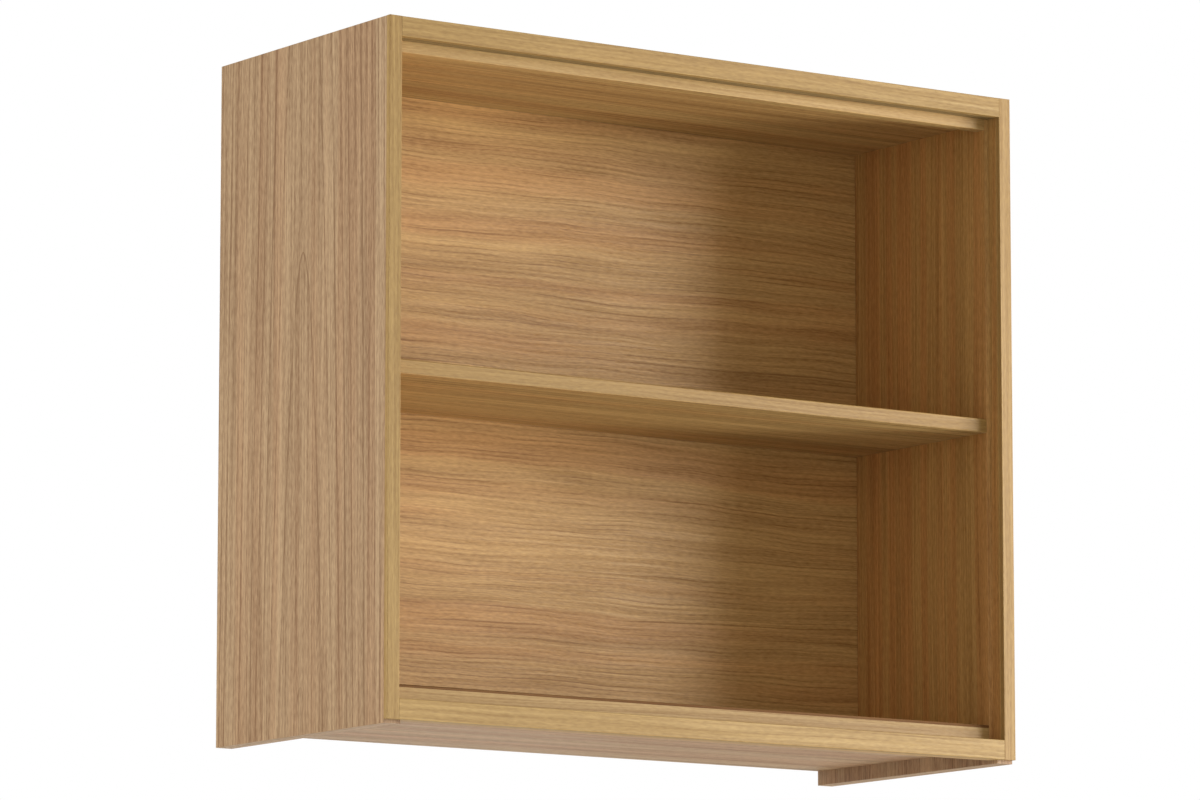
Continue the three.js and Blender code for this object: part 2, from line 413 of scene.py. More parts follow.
RING_RELIEF = 0.4


@dataclass(frozen=True)
class Wood:
    """A veneered or solid wood face.

    Attributes:
        name: The material's name.
        grain: How the grain runs.
        palette: Its colours.
        figure: Its growth rings.
        shift: Moves the pattern, so that no two boards match.
        blush_width: About how wide a redder streak is.
        run: About how long a streak is.
        coarse: How far apart the streaks and lines are, against those of fine oak.
        sway: How far the grain wanders sideways.
        streaks: Contrast of the wide streaks.
        bands: Contrast of the narrower bands in them.
        fibres: Contrast of the fine lines.
        flecks: Contrast of the short flecks.
        pores: Depth of tone of the pores.
        roughness: How matt the lacquer is.
    """

    name: str
    grain: Grain
    palette: Palette
    figure: Figure
    shift: float = 0.0
    blush_width: float = 50 * MM
    run: float = 0.3
    coarse: float = 1.0
    sway: float = 8 * MM
    streaks: float = 0.8
    bands: float = 0.9
    fibres: float = 1.5
    flecks: float = 0.9
    pores: float = 0.35
    roughness: float = 0.5

    def _read(self, shader: Shader, place: Signal, layer: Layer) -> Signal:
        """Reads one layer of the pattern.

        Args:
            shader: The material's nodes.
            place: The coordinates it is read at.
            layer: The layer.

        Returns:
            A value round 0.5.
        """
        scale = Vector((layer.across, layer.across, layer.across)) / self.coarse
        scale[self.grain.value[0]] = layer.along if layer.fixed else layer.along / self.run
        return shader.noise(place, scale, self.shift + layer.shift, layer.detail)

    def _wandering(self, shader: Shader) -> Signal:
        """Makes the grain wander from side to side.

        Args:
            shader: The material's nodes.

        Returns:
            The place that the pattern is read at.
        """
        place = shader.place()
        axes = list(shader.axes(place))
        across = self.grain.value[1]
        axes[across] = axes[across] + (self._read(shader, place, WANDER) - 0.5) * (2 * self.sway)
        return shader.vector(*axes)

    def _rings(self, shader: Shader, place: Signal) -> Signal:
        """Cuts the face through the growth rings, which are long cylinders round the heart of the log.

        Args:
            shader: The material's nodes.
            place: The coordinates the rings are read at.

        Returns:
            How much late wood shows, from 0 to 1.
        """
        axes, figure = shader.axes(place), self.figure
        along, across, through = (axes[axis] for axis in self.grain.value)
        aside = across - figure.heart
        under = along * figure.rise + through * figure.lean + figure.cut
        reach = (aside * aside + under * under) ** 0.5
        count = reach / figure.spacing
        slope = under * figure.rise
        tilt = (aside * aside + slope * slope) ** 0.5 / reach
        to_edge = (1 - count.fraction()) * figure.spacing / tilt
        line = to_edge.ramp(figure.line, 0.0) + count.fraction() ** 3.0 * figure.glow
        weight = shader.chance(count.floor()) * (1 - LEAST_WEIGHT) + LEAST_WEIGHT
        fading = self._read(shader, place, FADING).ramp(*FADED)
        return line * weight * (1 - fading * figure.broken)

    def material(self) -> bpy.types.Material:
        """Builds the material.

        Returns:
            The material.
        """
        shader = Shader(bpy.data.materials.new(self.name))
        place = self._wandering(shader)
        rings = self._rings(shader, place)
        wide, band, fine, fleck = (
            self._read(shader, place, layer) for layer in (STREAKS, BANDS, FIBRES, FLECKS)
        )
        pore = self._read(shader, place, PORES).ramp(*PORE)
        warm = self._read(shader, place, replace(BLUSH, across=1 / self.blush_width))

        tone = (
            MEAN_TONE
            + (wide - 0.5) * self.streaks
            + (band - 0.5) * self.bands
            + (fine - 0.5) * self.fibres
            + (fleck - 0.5) * self.flecks
            - rings * self.figure.strength
        )
        light, dark = self.palette.light, self.palette.dark
        middle = tuple((a + b) / 2 for a, b in zip(light, dark, strict=True))
        base = shader.colours(tone, ((0.0, dark), (0.5, middle), (1.0, light)))
        warmed = shader.mix(warm.ramp(*BLUSHED), base, self.palette.blush, "MULTIPLY")
        raised = fine * FIBRE_RELIEF + fleck * FLECK_RELIEF
        height = raised - pore * PORE_RELIEF - rings * RING_RELIEF
        return shader.finish(
            Base_Color=shader.mix(pore * self.pores, warmed, dark),
            Roughness=self.roughness + (0.5 - fine) * FIBRE_MATT + pore * PORE_MATT,
            Specular_IOR_Level=GLOSS,
            Normal=shader.bump(height, RELIEF, RELIEF_STRENGTH),
        )


@dataclass(frozen=True)
class Core:
    """The bare core of a board: pressed chips or fibres under the veneer.

    Attributes:
        name: The material's name.
        light: Colour of the palest chips.
        dark: Colour of the glue and the darkest chips.
        chip: Size of a chip.
        clouds: Large paler and darker patches per metre.
        chip_tone: Contrast of the chips.
        dust_tone: Contrast of the dust between them.
        cloud_tone: Contrast of the patches.
        roughness: How matt it is.
        uneven: How much that differs from chip to chip.
        relief: From the lowest chip to the highest.
    """

    name: str
    light: Colour
    dark: Colour
    chip: float
    clouds: float = 9.0
    chip_tone: float = 0.5
    dust_tone: float = 0.4
    cloud_tone: float = 0.6
    roughness: float = 0.85
    uneven: float = 0.1
    relief: float = 0.3 * MM

    def material(self) -> bpy.types.Material:
        """Builds the material.

        Returns:
            The material.
        """
        shader = Shader(bpy.data.materials.new(self.name))
        place = shader.place()
        cells = shader.node("ShaderNodeTexVoronoi", inputs={"Vector": place, "Scale": 1 / self.chip})
        red, green, _ = shader.axes(Signal(shader, cells.outputs["Color"]))
        dust = shader.noise(place, EVEN * (2 / self.chip), 2.0, 3.0)
        cloud = shader.noise(place, EVEN * self.clouds, 6.0, 4.0)
        to_middle = 0.5 - (self.chip_tone + self.dust_tone + self.cloud_tone) / 2
        tone = red * self.chip_tone + dust * self.dust_tone + cloud * self.cloud_tone + to_middle
        return shader.finish(
            Base_Color=shader.colours(tone, ((0.15, self.dark), (0.85, self.light))),
            Roughness=self.roughness + (green - 0.5) * self.uneven,
            Normal=shader.bump(tone, self.relief, 0.5),
        )


@dataclass(frozen=True)
class Metal:
    """A cast or turned metal.

    Attributes:
        name: The material's name.
        tint: Its colour.
        roughness: How dull it is.
        mottle: Size of the dull patches that handling leaves.
        dulled: How bright those patches are against the rest.
        worn: The noise at which a patch starts, and at which it is full.
        uneven: How much the roughness differs from patch to patch.
        grit: How many grains lie across a patch.
        relief: How high they stand.
    """

    name: str
    tint: Colour
    roughness: float
    mottle: float = 3 * MM
    dulled: float = 0.72
    worn: tuple[float, float] = (0.35, 0.75)
    uneven: float = 0.3
    grit: float = 12.0
    relief: float = 0.05 * MM

    def material(self) -> bpy.types.Material:
        """Builds the material.

        Returns:
            The material.
        """
        shader = Shader(bpy.data.materials.new(self.name))
        place = shader.place()
        patch = shader.noise(place, EVEN / self.mottle, 4.0, 3.0)
        grains = shader.noise(place, EVEN * (self.grit / self.mottle), 9.0, 2.0)
        dull = tuple(self.dulled * channel for channel in self.tint)
        return shader.finish(
            Base_Color=shader.mix(patch.ramp(*self.worn), self.tint, dull),
            Metallic=1.0,
            Roughness=self.roughness + (patch - 0.5) * self.uneven,
            Normal=shader.bump(grains, self.relief, 0.4),
        )


TAN = Palette(light=(0.544, 0.362, 0.198), dark=(0.264, 0.148, 0.067), blush=(0.96, 0.9, 0.87))
UNDERSIDE = replace(TAN, blush=(1.0, 0.9, 0.86))
# A darker copy of the tan for the foot, the side panels' inner faces under the bottom panel: painted shade
# for that shaded recess.
FOOT_SHADE = replace(TAN, light=(0.44, 0.28, 0.145), dark=(0.19, 0.1, 0.045))
GOLD = Palette(light=(0.6, 0.361, 0.121), dark=(0.281, 0.141, 0.035), blush=(0.99, 0.91, 0.87))
INNER_SIDE = replace(GOLD, blush=(1.03, 0.91, 0.89))
CEILING = replace(GOLD, light=(0.6, 0.402, 0.152), dark=(0.256, 0.142, 0.039))
# A darker copy of the gold for the top rail's underside: painted shade, standing in for the contact shadow
# in that narrow reveal.
REVEAL_SHADE = replace(GOLD, light=(0.32, 0.22, 0.085), dark=(0.16, 0.1, 0.032))
OAK = Palette(light=(0.446, 0.28, 0.086), dark=(0.26, 0.143, 0.034), blush=(0.97, 0.93, 0.88))
# A lighter copy of the oak for the battens and the lippings' side faces: painted light, which offsets the
# shade that falls on them.
BATTEN_LIT = replace(OAK, light=(0.5, 0.32, 0.112), dark=(0.31, 0.172, 0.048))
SHELF_EDGE = replace(OAK, light=(0.41, 0.252, 0.073), dark=(0.24, 0.13, 0.029))
# Near-black oak for a thin line along the top of the lower batten: painted shade, standing in for the
# contact shadow above the batten.
SHADE_LINE = replace(OAK, light=(0.2, 0.09, 0.02), dark=(0.12, 0.05, 0.01))
PINE = Palette(light=(0.6, 0.44, 0.24), dark=(0.38, 0.23, 0.09), blush=(0.95, 0.88, 0.8))

STRAIGHT = Figure(cut=0.4, lean=1.0, strength=0.3)
FINE_STRAIGHT = replace(STRAIGHT, spacing=4 * MM, strength=0.5)
FLAMES = Figure(spacing=5 * MM, heart=-100 * MM, cut=40 * MM, broken=0.8)
ARCHES = Figure(
    spacing=8 * MM,
    heart=-166 * MM,
    cut=115.7 * MM,
    rise=0.0177,
    lean=0.006,
    line=4 * MM,
    glow=0.2,
    broken=0.25,
    strength=0.65,
)


class Finishes:
    """Every finish of the cabinet, built once."""

    def __init__(self) -> None:
        """Builds the materials."""
        self._build_tan()
        self._build_gold()
        self._build_oak()
        self._build_hidden()

    def _build_tan(self) -> None:
        """Builds the tan veneer of the outside, its edge band, and a darker copy of it that paints shade on
        the foot.
        """
        upright = Wood(
            "tan_veneer_upright",
            Grain.UPRIGHT_ON_SIDE,
            TAN,
            ARCHES,
            blush_width=28 * MM,
            sway=3 * MM,
            streaks=1.1,
            bands=0.65,
            fibres=1.2,
            flecks=1.2,
        )
        flat = replace(upright, name="tan_veneer_underside", grain=Grain.LENGTHWISE_ON_FLAT, figure=STRAIGHT)
        foot = replace(upright, name="tan_veneer_foot_painted_shade", palette=FOOT_SHADE, figure=FINE_STRAIGHT, shift=32.0)
        band = replace(upright, name="tan_edge_band", grain=Grain.DEPTHWISE, figure=STRAIGHT, shift=6.0)
        self.tan_upright = upright.material()
        self.tan_flat = replace(flat, palette=UNDERSIDE, shift=4.0, bands=1.2).material()
        self.tan_foot_painted_shade = replace(foot, coarse=0.7).material()
        self.tan_band = band.material()

    def _build_gold(self) -> None:
        """Builds the golden veneer of the inside, and a darker copy of it that paints shade on the top
        rail's underside.
        """
        flat = Wood(
            "golden_veneer_flat",
            Grain.LENGTHWISE_ON_FLAT,
            CEILING,
            STRAIGHT,
            shift=10.0,
            blush_width=35 * MM,
            streaks=1.4,
            bands=1.2,
            fibres=0.95,
            flecks=0.9,
        )
        calm = replace(flat, palette=GOLD, streaks=0.65, bands=0.6)
        side = replace(calm, name="golden_veneer_upright", grain=Grain.UPRIGHT_ON_SIDE, palette=INNER_SIDE)
        back = replace(calm, name="golden_veneer_back", grain=Grain.LENGTHWISE_ON_FRONT, figure=FLAMES)
        self.gold_flat = flat.material()
        self.gold_upright = replace(side, shift=8.0, blush_width=14 * MM, streaks=0.8).material()
        self.gold_back = replace(back, shift=12.0, run=0.2, sway=16 * MM).material()
        # Painted shade: this darker copy goes on the top rail's underside.
        self.painted_shade_reveal = replace(calm, name="painted_shade_reveal", palette=REVEAL_SHADE, shift=22.0).material()

    def _build_oak(self) -> None:
        """Builds the solid oak of the lippings and battens, a lighter copy of it that paints light on the
        battens and on the lippings' side faces, and a near-black copy that paints a line of shade along the
        top of the lower batten.
        """
        rail = Wood(
            "oak_lipping_lengthwise",
            Grain.LENGTHWISE_ON_FRONT,
            OAK,
            STRAIGHT,
            shift=16.0,
            streaks=0.5,
            bands=0.65,
            fibres=1.1,
            flecks=0.9,
        )
        stile = replace(rail, name="oak_lipping_upright", grain=Grain.UPRIGHT_ON_FRONT, shift=14.0)
        # The battens and the lippings' side faces get the lighter copy of the oak: painted light.
        batten = replace(rail, name="oak_batten_painted_light", palette=BATTEN_LIT, shift=24.0)
        edge = replace(batten, name="oak_lipping_edge_painted_light", grain=Grain.UPRIGHT_ON_SIDE, shift=26.0)
        # The thin dark line along the top of the lower batten is painted shade.
        shade_line_oak = replace(rail, name="oak_painted_shade_line", palette=SHADE_LINE, shift=30.0, roughness=0.8)
        self.oak_lengthwise = rail.material()
        self.oak_upright = stile.material()
        self.oak_batten_painted_light = batten.material()
        self.oak_edge_painted_light = edge.material()
        self.painted_shade_line = shade_line_oak.material()
        self.shelf_edge = replace(rail, name="oak_shelf_edge", palette=SHELF_EDGE, shift=28.0).material()

    def _build_hidden(self) -> None:
        """Builds the rear rails, the dowels, the bare cores and the metals."""
        pine = Wood("pine_rail", Grain.LENGTHWISE_ON_FRONT, PINE, STRAIGHT, shift=18.0, roughness=0.7)
        self.pine = pine.material()
        self.beech = replace(pine, name="beech_dowel", shift=20.0).material()
        self.chipboard = Core("chipboard_core", (0.62, 0.46, 0.27), (0.3, 0.19, 0.09), 2.2 * MM).material()
        self.hardboard = Core("hardboard_back", (0.32, 0.19, 0.095), (0.2, 0.11, 0.05), 0.9 * MM).material()
        self.zinc = Metal("cast_zinc", (0.46, 0.47, 0.48), 0.42).material()
        self.steel = Metal("plated_steel", (0.56, 0.57, 0.58), 0.28).material()


def publish(
    shape: bmesh.types.BMesh, name: str, nodes: Sequence[str], finish: bpy.types.Material | None
) -> bpy.types.Object:
    """Makes a finished shape into a piece of the cabinet.

    Args:
        shape: The shape, in place. It is freed.
        name: The piece's name.
        nodes: The CAD nodes that it stands for.
        finish: Its one material, or None if its faces are dressed later.

    Returns:
        The piece.
    """
    mesh = bpy.data.meshes.new(name)
    shape.to_mesh(mesh)
    shape.free()
    piece = bpy.data.objects.new(name, mesh)
    bpy.context.scene.collection.objects.link(piece)
    if finish is not None:
        mesh.materials.append(finish)
    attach(piece, ROOT_BODY)
    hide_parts(*nodes)
    LOG.info("%s: %d faces", name, len(mesh.polygons))
    return piece


@dataclass
class Board:
    """One board of the case, finished from its own CAD solid.

    Attributes:
        node: The CAD node.
        slot: The record's material slot. It is not used.
        finish: The material of every face that faces doesn't name.
        faces: The material of the faces that look a given way.
        below: A height, and the material of every face or part of a face under it, or None.
        ease: Radius of its arrises.
        shortest: Length of the shortest arris that is eased.
        sharpest: Least turn between two faces whose arris is eased.
        segments: Steps round an eased arris.
    """

    node: str
    slot: str
    finish: bpy.types.Material
    faces: dict[Facing, bpy.types.Material] = field(default_factory=dict)
    below: tuple[float, bpy.types.Material] | None = None
    ease: float = 0.4 * MM
    shortest: float = 25 * MM
    sharpest: float = math.radians(40)
    segments: int = 3

    def build(self) -> bpy.types.Object:
        """Eases the board's arrises and dresses its faces.

        Returns:
            The finished board.
        """
        shape = bmesh.new()
        shape.from_mesh(bpy.data.objects[self.node].data)
        bmesh.ops.remove_doubles(shape, verts=shape.verts, dist=TOUCH)
        flat = {"verts": shape.verts, "edges": shape.edges, "angle_limit": FLAT}
        bmesh.ops.dissolve_limit(shape, **flat, delimit=set())
        for face in shape.faces:
            face.smooth = False
        self._ease(shape)
        if self.below:
            level = (0.0, 0.0, self.below[0])
            whole = [*shape.verts, *shape.edges, *shape.faces]
            bmesh.ops.bisect_plane(shape, geom=whole, dist=TOUCH, plane_co=level, plane_no=(0, 0, 1))
        piece = publish(shape, f"{self.node}_finished", [self.node], None)
        self._dress(piece)
        return piece

    def _ease(self, shape: bmesh.types.BMesh) -> None:
        """Rounds the long arrises and leaves the new faces smooth.

        Args:
            shape: The board.
        """
        made = bmesh.ops.bevel(
            shape,
            geom=[e for e in shape.edges if self._is_long_arris(e)],
            offset=self.ease,
            offset_type="OFFSET",
            segments=self.segments,
            profile=0.5,
            affect="EDGES",
            clamp_overlap=True,
            material=-1,
        )
        for face in made["faces"]:
            face.smooth = True

    def _is_long_arris(self, edge: bmesh.types.BMEdge) -> bool:
        """Tells whether an edge is an outside corner that is long enough to be eased."""
        outside = edge.is_manifold and edge.is_convex
        return outside and edge.calc_length() > self.shortest and edge.calc_face_angle() > self.sharpest

    def _dress(self, piece: bpy.types.Object) -> None:
        """Gives each face the material for the way it looks.

        Args:
            piece: The finished board.
        """
        mesh = piece.data
        level, lower = self.below or (-math.inf, self.finish)
        finishes = list(dict.fromkeys((self.finish, lower, *self.faces.values())))
        for finish in finishes:
            mesh.materials.append(finish)
        for polygon in mesh.polygons:
            ordinary = lower if polygon.center.z < level else self.finish
            finish = self.faces.get(Facing.of(polygon.normal), ordinary)
            polygon.material_index = finishes.index(finish)


def turned(profile: Sequence[tuple[float, float]], sides: int) -> bmesh.types.BMesh:
    """Turns a closed round shape about the x axis.

    Args:
        profile: (distance along x, radius) pairs that start and end on the axis.
        sides: Number of steps round the shape.

    Returns:
        The shape.
    """
    shape = bmesh.new()
    corners = [shape.verts.new((along, 0.0, radius)) for along, radius in profile]
    outline = [shape.edges.new(pair) for pair in zip(corners, corners[1:])]
    bmesh.ops.spin(
        shape,
        geom=[*corners, *outline],
        cent=(0, 0, 0),
        axis=(1, 0, 0),
        dvec=(0, 0, 0),
        angle=math.tau,
        steps=sides,
        use_merge=True,
        use_duplicate=False,
    )
    bmesh.ops.remove_doubles(shape, verts=shape.verts, dist=SEAM)
    bmesh.ops.recalc_face_normals(shape, faces=shape.faces)
    for face in shape.faces:
        face.smooth = True
    return shape


@dataclass
class Dowels:
    """Fluted beech dowels between the side panels and the boards.

    Attributes:
        finish: Their material.
        chamfer: Height and width of the chamfer at each end.
        flutes: Number of flutes.
        flute_depth: How deep a flute is.
        points_per_flute: Steps round a dowel for each flute.
    """

    finish: bpy.types.Material
    chamfer: float = 0.9 * MM
    flutes: int = 16
    flute_depth: float = 0.3 * MM
    points_per_flute: int = 3

    def build(self, nodes: Sequence[str]) -> None:
        """Turns the dowels.

        Args:
            nodes: The CAD node of each.
        """
        for node in nodes:
            low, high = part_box(node)
            length, radius = high.x - low.x, (high.y - low.y) / 2
            profile = (
                (0.0, 0.0),
                (0.0, radius - self.chamfer),
                (self.chamfer, radius),
                (length - self.chamfer, radius),
                (length, radius - self.chamfer),
                (length, 0.0),
            )
            shape = turned(profile, self.flutes * self.points_per_flute)
            self._flute(shape, radius)
            shift = Vector((low.x, (low.y + high.y) / 2, (low.z + high.z) / 2))
            bmesh.ops.translate(shape, vec=shift, verts=shape.verts)
            piece = publish(shape, f"{node}_turned", [node], self.finish)
            piece.data.set_sharp_from_angle(angle=CREASE)

    def _flute(self, shape: bmesh.types.BMesh, radius: float) -> None:
        """Presses one row of points in for each flute.

        Args:
            shape: The dowel, along the x axis.
            radius: Its radius.
        """
        for corner in shape.verts:
            out = Vector((0.0, corner.co.y, corner.co.z))
            turn = math.atan2(corner.co.y, corner.co.z) / math.tau * self.flutes
            on_flute = abs(turn - round(turn)) < 0.5 / self.points_per_flute
            if out.length > radius - TOUCH and on_flute:
                corner.co -= out.normalized() * self.flute_depth


@dataclass
class CamBolts:
    """Cam bolts: a screwed end, a collar at the joint, a neck and a round head.

    Attributes:
        finish: Their material.
        sides: Steps round a bolt.
        neck: Radius of the neck.
        head_length: Length of the head.
        head_tip: Radius of the head's end, against the head's own.
        head_slope: Share of the head's length that each of its slopes takes.
        collar_length: Length of the collar.
        collar_chamfer: Length of its chamfer.
        thread_length: Length of the thread.
        thread_pitch: From one turn of the thread to the next.
        thread_radius: Radius over the thread.
        thread_depth: How deep it is cut.
        tip: Radius where the point starts.
        point: Radius and length of the point.
    """

    finish: bpy.types.Material
    sides: int = 32
    neck: float = 2.3 * MM
    head_length: float = 3.6 * MM
    head_tip: float = 0.7
    head_slope: float = 0.25
    collar_length: float = 8 * MM
    collar_chamfer: float = 0.5 * MM
    thread_length: float = 11 * MM
    thread_pitch: float = 1.4 * MM
    thread_radius: float = 3 * MM
    thread_depth: float = 0.6 * MM
    tip: float = 1.2 * MM
    point: tuple[float, float] = (0.5 * MM, 0.4 * MM)

    def build(self, nodes: Sequence[str]) -> None:
        """Turns the bolts, each with its head towards the middle of the cabinet.

        Args:
            nodes: The CAD node of each.
        """
        for node in nodes:
            low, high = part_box(node)
            shape = turned(self._profile(high.x - low.x, (high.y - low.y) / 2), self.sides)
            at_right = low.x > 0
            if not at_right:
                bmesh.ops.rotate(shape, matrix=Matrix.Rotation(math.pi, 3, "Z"), verts=shape.verts)
            head = low.x if at_right else high.x
            shift = Vector((head, (low.y + high.y) / 2, (low.z + high.z) / 2))
            bmesh.ops.translate(shape, vec=shift, verts=shape.verts)
            piece = publish(shape, f"{node}_turned", [node], self.finish)
            piece.data.set_sharp_from_angle(angle=CREASE)

    def _profile(self, length: float, head: float) -> list[tuple[float, float]]:
        """Draws the outline of a bolt, from its head to the tip of its thread.

        Args:
            length: Its whole length.
            head: Radius of its head and collar.

        Returns:
            (distance along the bolt, radius) pairs.
        """
        joint = length - self.thread_length
        collar = joint - self.collar_length
        outline = [
            (0.0, 0.0),
            (0.0, self.head_tip * head),
            (self.head_slope * self.head_length, head),
            ((1 - self.head_slope) * self.head_length, head),
            (self.head_length, self.neck),
            (collar, self.neck),
            (collar + self.collar_chamfer, head),
            (joint, head),
        ]
        turns = int(self.thread_length / self.thread_pitch) - 1
        for turn in range(turns):
            start = joint + turn * self.thread_pitch
            outline.append((start, self.thread_radius - self.thread_depth))
            outline.append((start + self.thread_pitch / 2, self.thread_radius))
        point, point_length = self.point
        return [*outline, (length - point_length, self.tip), (length, point), (length, 0.0)]


@dataclass
class Cams:
    """Cams: a rimmed drum with a driver's cross, open on the side where the bolt's head goes in.

    Attributes:
        finish: Their material.
        sides: Steps round a cam.
        play: How far the rim sits over the drum, on the board.
        rim: Radius of the rim.
        rim_height: Thickness of the rim.
        rim_chamfer: Height and width of its chamfer.
        plate: Thickness of the top plate.
        base: Thickness of the plate under the bolt's head.
        wall: Thickness of the wall between the plates.
        wall_steps: Steps round the wall.
        cross_arm: From the middle of the cross to the end of an arm.
        cross_width: Width of an arm.
        cross_depth: How deep the cross is sunk.
        open_angle: How much of the wall is left open.
    """

    finish: bpy.types.Material
    sides: int = 48
    play: float = 0.3 * MM
    rim: float = 8.6 * MM
    rim_height: float = 0.6 * MM
    rim_chamfer: float = 0.2 * MM
    plate: float = 3.4 * MM
    base: float = 0.8 * MM
    wall: float = 2.2 * MM
    wall_steps: int = 36
    cross_arm: float = 4 * MM
    cross_width: float = 1.7 * MM
    cross_depth: float = 2.4 * MM
    open_angle: float = math.radians(100)

    def build(self, nodes: Sequence[str]) -> None:
        """Casts the cams.

        Args:
            nodes: The CAD node of each.
        """
        for node in nodes:
            low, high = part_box(node)
            height, radius = high.z - low.z, (high.x - low.x) / 2
            shape = bmesh.new()
            self._top_plate(shape, radius, height)
            self._base_plate(shape, radius)
            self._wall(shape, radius, height, low.x > 0)
            bmesh.ops.recalc_face_normals(shape, faces=shape.faces)
            shift = Vector(((low.x + high.x) / 2, (low.y + high.y) / 2, low.z))
            bmesh.ops.translate(shape, vec=shift, verts=shape.verts)
            publish(shape, f"{node}_cast", [node], self.finish)

    def _top_plate(self, shape: bmesh.types.BMesh, radius: float, height: float) -> None:
        """Adds the rimmed top with the driver's cross sunk in it.

        Args:
            shape: The cam, standing on the origin.
            radius: Radius of its drum.
            height: Height of its drum.
        """
        crown = height + self.play + self.rim_height
        cross = self._cross(shape, crown)
        inner = self.rim - self.rim_chamfer
        ring = bmesh.ops.create_circle(shape, cap_ends=False, segments=self.sides, radius=inner)
        bmesh.ops.translate(shape, vec=(0, 0, crown), verts=ring["verts"])
        loop = list({edge for corner in ring["verts"] for edge in corner.link_edges})
        bmesh.ops.bridge_loops(shape, edges=[*cross, *loop])
        seat = height + self.play
        steps = (
            (crown - self.rim_chamfer, self.rim),
            (seat, self.rim),
            (seat, radius),
            (height - self.plate, radius),
        )
        for rise, reach in steps:
            loop = self._grow(shape, loop, rise, reach)
        bmesh.ops.contextual_create(shape, geom=loop)
        floor = self._grow(shape, cross, crown - self.cross_depth, None)
        bmesh.ops.contextual_create(shape, geom=floor)

    def _cross(self, shape: bmesh.types.BMesh, crown: float) -> list[bmesh.types.BMEdge]:
        """Adds the outline of the driver's cross, with as many points as the rim has.

        Args:
            shape: The cam.
            crown: Height of its top.

        Returns:
            The outline's edges.
        """
        arm, half = self.cross_arm, self.cross_width / 2
        quarter = [(arm, -half), (arm, half), (half, half)]
        turns = [Matrix.Rotation(turn * math.pi / 2, 2) for turn in range(4)]
        spots = [turn @ Vector(spot) for turn in turns for spot in quarter]
        corners = [shape.verts.new((spot.x, spot.y, crown)) for spot in spots]
        outline = [shape.edges.new((a, b)) for a, b in zip(corners, corners[1:] + corners[:1])]
        parts = self.sides // len(outline)
        cut = bmesh.ops.subdivide_edges(shape, edges=outline, cuts=parts - 1)
        return list({*outline, *(g for g in cut["geom"] if isinstance(g, bmesh.types.BMEdge))})

    def _grow(
        self, shape: bmesh.types.BMesh, loop: list[bmesh.types.BMEdge], rise: float, reach: float | None
    ) -> list[bmesh.types.BMEdge]:
        """Extrudes a ring of edges.

        Args:
            shape: The cam.
            loop: The ring.
            rise: The height that it is taken to.
            reach: The radius that it is taken to, or None to leave it as it is.

        Returns:
            The new ring.
        """
        made = bmesh.ops.extrude_edge_only(shape, edges=loop)["geom"]
        corners = [g for g in made if isinstance(g, bmesh.types.BMVert)]
        for corner in corners:
            corner.co.z = rise
            if reach is not None:
                corner.co.xy = corner.co.xy.normalized() * reach
        moved = set(corners)
        return [g for g in made if isinstance(g, bmesh.types.BMEdge) and set(g.verts) <= moved]

    def _base_plate(self, shape: bmesh.types.BMesh, radius: float) -> None:
        """Adds the thin plate under the bolt's head.

        Args:
            shape: The cam.
            radius: Radius of its drum.
        """
        disc = bmesh.ops.create_circle(shape, cap_ends=True, segments=self.sides, radius=radius)
        faces = list({face for corner in disc["verts"] for face in corner.link_faces})
        grown = bmesh.ops.extrude_face_region(shape, geom=faces, use_keep_orig=True)
        top = [g for g in grown["geom"] if isinstance(g, bmesh.types.BMVert)]
        bmesh.ops.translate(shape, vec=(0, 0, self.base), verts=top)

    def _wall(self, shape: bmesh.types.BMesh, radius: float, height: float, at_right: bool) -> None:
        """Adds the C-shaped wall between the two plates, open towards the side panel.

        Args:
            shape: The cam.
            radius: Radius of its drum.
            height: Height of its drum.
            at_right: Whether the side panel is the right one.
        """
        inner, low, high = radius - self.wall, self.base, height - self.plate
        start = self.open_angle / 2 + (0 if at_right else math.pi)
        spots = ((inner, low), (radius, low), (radius, high), (inner, high))
        corners = [shape.verts.new((reach, 0.0, rise)) for reach, rise in spots]
        section = shape.faces.new(corners)
        bmesh.ops.rotate(shape, matrix=Matrix.Rotation(start, 3, "Z"), verts=corners)
        bmesh.ops.spin(
            shape,
            geom=[section],
            cent=(0, 0, 0),
            axis=(0, 0, 1),
            dvec=(0, 0, 0),
            angle=math.tau - self.open_angle,
            steps=self.wall_steps,
            use_merge=False,
            use_duplicate=False,
        )


